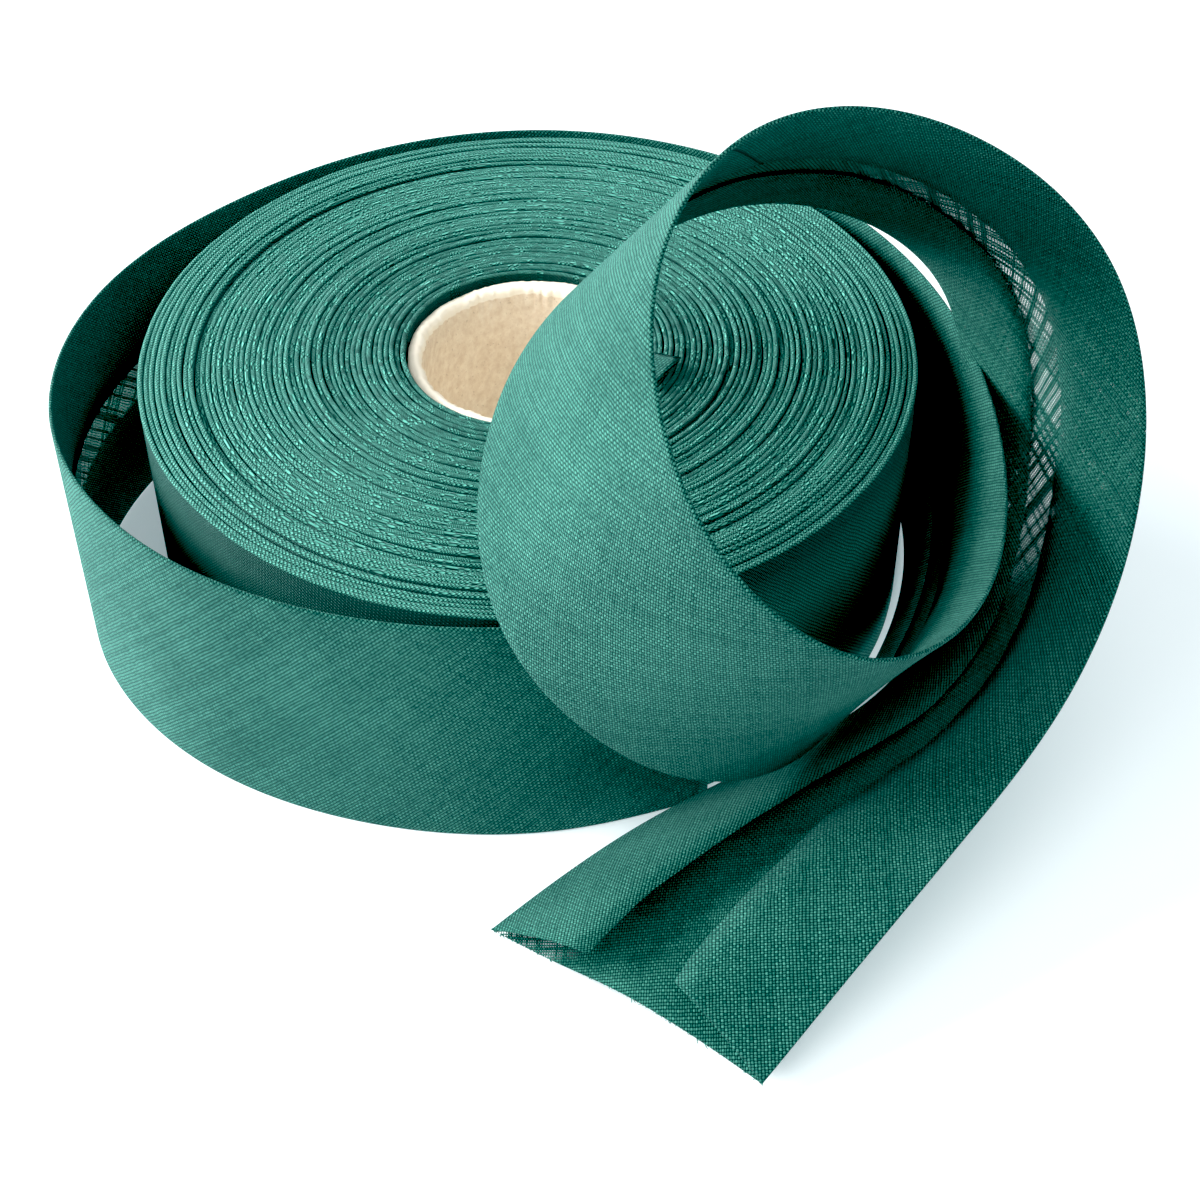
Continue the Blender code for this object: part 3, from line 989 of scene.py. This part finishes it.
def cardboard_material():
    """Kraft board with fibres inside, and pale torn paper at the rim."""
    material, tree, shader = new_material("core cardboard")
    place = add_node(tree, "ShaderNodeTexCoord").outputs["Object"]
    apart = add_node(tree, "ShaderNodeSeparateXYZ")
    feed(tree, apart.inputs[0], place)
    flat = add_node(tree, "ShaderNodeMapping")
    feed(tree, flat.inputs["Vector"], place)
    flat.inputs["Scale"].default_value = (1.0, 1.0, 0.75)
    fibres = noise(tree, flat.outputs[0], 900.0, 4.0, 0.65)
    cloud = noise(tree, place, 120.0, 2.0)
    flecks = remap(tree, noise(tree, flat.outputs[0], 2600.0, 2.0), 0.66, 0.74)
    kraft = blend_colours(tree, remap(tree, fibres, 0.35, 0.7), KRAFT, KRAFT_DARK)
    kraft = blend_colours(tree, calc(tree, "MULTIPLY", flecks, 0.45), kraft, KRAFT_FLECK)
    ragged = calc(tree, "ADD", apart.outputs[2], calc(tree, "MULTIPLY", cloud, 1.6 * MM))
    rim = remap(tree, ragged, TUBE_HEIGHT - 0.5 * MM, TUBE_HEIGHT - 0.3 * MM, smooth=True)
    feed(tree, shader.inputs["Base Color"], blend_colours(tree, rim, kraft, CREAM))
    shader.inputs["Roughness"].default_value = 0.9
    shader.inputs["Specular IOR Level"].default_value = 0.2
    bump = add_node(tree, "ShaderNodeBump")
    bump.inputs["Strength"].default_value = 0.5
    bump.inputs["Distance"].default_value = 0.15 * MM
    feed(tree, bump.inputs["Height"], fibres)
    feed(tree, shader.inputs["Normal"], bump.outputs[0])
    return material


cardboard = cardboard_material()
print("cardboard ready")

# %% The tube
TUBE_WALL = 2.2 * MM
TUBE_AROUND = 240
TEAR_REACH = 3.0 * MM      # how far down the tearing is felt
TEAR_DEPTH = 0.32 * MM
TUBE_PROFILE = (
    # (radius less the outer radius, height), both in mm, around the wall's section
    (0.0, 1.0),
    (0.0, 20.0),
    (0.0, 37.6),
    (-0.1, 38.4),
    (-0.6, 38.75),
    (-1.2, 38.8),
    (-1.8, 38.6),
    (-2.1, 38.1),
    (-2.2, 37.0),
    (-2.2, 34.0),
    (-2.2, 20.0),
    (-2.2, 2.0),
    (-2.0, 0.3),
    (-1.1, 0.0),
    (-0.2, 0.3),
)


def tube():
    """Walk a circle around the wall's section and bridge the ends."""
    bpy.ops.object.select_all(action="DESELECT")
    start_radius = TUBE_RADIUS + TUBE_PROFILE[0][0] * MM
    place = (AXIS.x, AXIS.y, TUBE_PROFILE[0][1] * MM)
    bpy.ops.mesh.primitive_circle_add(vertices=TUBE_AROUND, radius=start_radius, location=place)
    obj = bpy.context.object
    obj.name = "cardboard_core"
    obj.data.name = "cardboard_core"
    bpy.ops.object.mode_set(mode="EDIT")
    bpy.ops.mesh.select_all(action="SELECT")
    for before, after in zip(TUBE_PROFILE, TUBE_PROFILE[1:]):
        rise = (after[1] - before[1]) * MM
        scale = (TUBE_RADIUS + after[0] * MM) / (TUBE_RADIUS + before[0] * MM)
        bpy.ops.mesh.extrude_edges_move(TRANSFORM_OT_translate={"value": (0.0, 0.0, rise)})
        bpy.ops.transform.resize(value=(scale, scale, 1.0))
    bpy.ops.mesh.select_all(action="DESELECT")
    bpy.ops.mesh.select_non_manifold()
    bpy.ops.mesh.bridge_edge_loops()
    bpy.ops.mesh.select_all(action="SELECT")
    bpy.ops.mesh.normals_make_consistent(inside=False)
    bpy.ops.object.mode_set(mode="OBJECT")
    bpy.ops.object.transform_apply(location=True, rotation=True, scale=True)
    return obj


def tear_rim(obj):
    """Make the upper rim uneven and its inner edge torn."""
    for vertex in obj.data.vertices:
        out = vertex.co - AXIS
        radius = math.hypot(out.x, out.y)
        angle = math.atan2(out.y, out.x)
        depth = TUBE_HEIGHT - vertex.co.z
        near = max(0.0, 1.0 - depth / TEAR_REACH) if depth > -MM else 1.0
        inward = min(1.0, max(0.0, (TUBE_RADIUS - radius) / TUBE_WALL))
        tear = (float(wander(angle, 0.35, 31, 5)) + 0.9 * float(wander(angle, 0.09, 33, 3))) * inward
        level = Vector((out.x, out.y, 0.0)) / radius
        vertex.co += level * (TEAR_DEPTH * tear * near)
        vertex.co.z += near * MM * (0.16 * float(wander(angle, 1.9, 32)) + 0.15 * tear)


core = tube()
tear_rim(core)
core.data.materials.append(cardboard)
core.data.shade_smooth()
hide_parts("core_tube")
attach(core, "root")
print("core:", len(core.data.polygons), "faces")

# %% [markdown]
# The stage is a white table under soft light, and the table glows faintly and coolly itself, as
# a light table does, so that no shadow on it goes dark. Most light comes from the left, high
# and low, a weak lamp at the front left models the folds, and a wide one overhead lights the
# crests of the turns. Rings of lamps would flatten the weave, and one lamp would lose the loop.
# The lamps began as a fit to tones, made outside this file, and were then changed.

# %% The table and the light
TABLE = (0.88, 0.91, 0.92, 1.0)
SKY = (0.86, 0.94, 1.0, 1.0)
SKY_STRENGTH = 0.25
TABLE_GLOW = (0.72, 0.93, 1.0, 1.0)
TABLE_GLOW_STRENGTH = 0.25
TABLE_SIZE = 6.0
SEEN_SKY_STRENGTH = 1.05
LAMPS_AIM_AT = Vector((0.0, 0.0, 0.03))
BLACK_LEVEL = (0.033, 0.027, 0.026)  # red, green and blue below this are shown as black
LAMPS = (
    # (name, bearing and rise in degrees, power in watts, size in metres)
    ("front left lamp", 45, 30, 3.0, 0.50),
    ("left lamp", 90, 32, 14.0, 0.50),
    ("low left lamp", 122, 9, 20.0, 0.42),
    ("top lamp", 320, 66, 8.0, 1.20),
)


def table_top():
    """A wide pale floor with a faint cool glow of its own, as a light table has."""
    material, _, shader = new_material("white table")
    shader.inputs["Base Color"].default_value = TABLE
    shader.inputs["Roughness"].default_value = 0.9
    shader.inputs["Specular IOR Level"].default_value = 0.1
    shader.inputs["Emission Color"].default_value = TABLE_GLOW
    shader.inputs["Emission Strength"].default_value = TABLE_GLOW_STRENGTH
    bpy.ops.object.select_all(action="DESELECT")
    bpy.ops.mesh.primitive_plane_add(size=TABLE_SIZE, location=(0.0, 0.0, 0.0))
    floor = bpy.context.object
    floor.name = "table_top"
    floor.data.materials.append(material)


def lamp(name, bearing, rise, power, size):
    """A round soft lamp, a metre away on a bearing clockwise from the front."""
    data = bpy.data.lights.new(name, "AREA")
    data.shape = "DISK"
    data.size = size
    data.energy = power
    obj = bpy.data.objects.new(name, data)
    bpy.context.scene.collection.objects.link(obj)
    turn = math.radians(bearing)
    up = math.radians(rise)
    away = Vector((-math.sin(turn) * math.cos(up), -math.cos(turn) * math.cos(up), math.sin(up)))
    obj.location = away
    obj.rotation_euler = (away - LAMPS_AIM_AT).to_track_quat("Z", "Y").to_euler()


def sky():
    """An even pale sky, white where it is seen and dimmer as a light."""
    world = bpy.data.worlds.new("sky")
    world.use_nodes = True
    tree = world.node_tree
    background = tree.nodes["Background"]
    path = add_node(tree, "ShaderNodeLightPath")
    seen = path.outputs["Is Camera Ray"]
    feed(tree, background.inputs["Color"], blend_colours(tree, seen, SKY, (1.0, 1.0, 1.0, 1.0)))
    feed(tree, background.inputs["Strength"], remap(tree, seen, 0.0, 1.0, SKY_STRENGTH, SEEN_SKY_STRENGTH))
    bpy.context.scene.world = world


table_top()
sky()
for name, bearing, rise, power, size in LAMPS:
    lamp(name, bearing, rise, power, size)
bpy.context.scene.view_settings.view_transform = "Standard"
bpy.context.scene.view_settings.use_curve_mapping = True
bpy.context.scene.view_settings.curve_mapping.black_level = BLACK_LEVEL
print("stage ready")
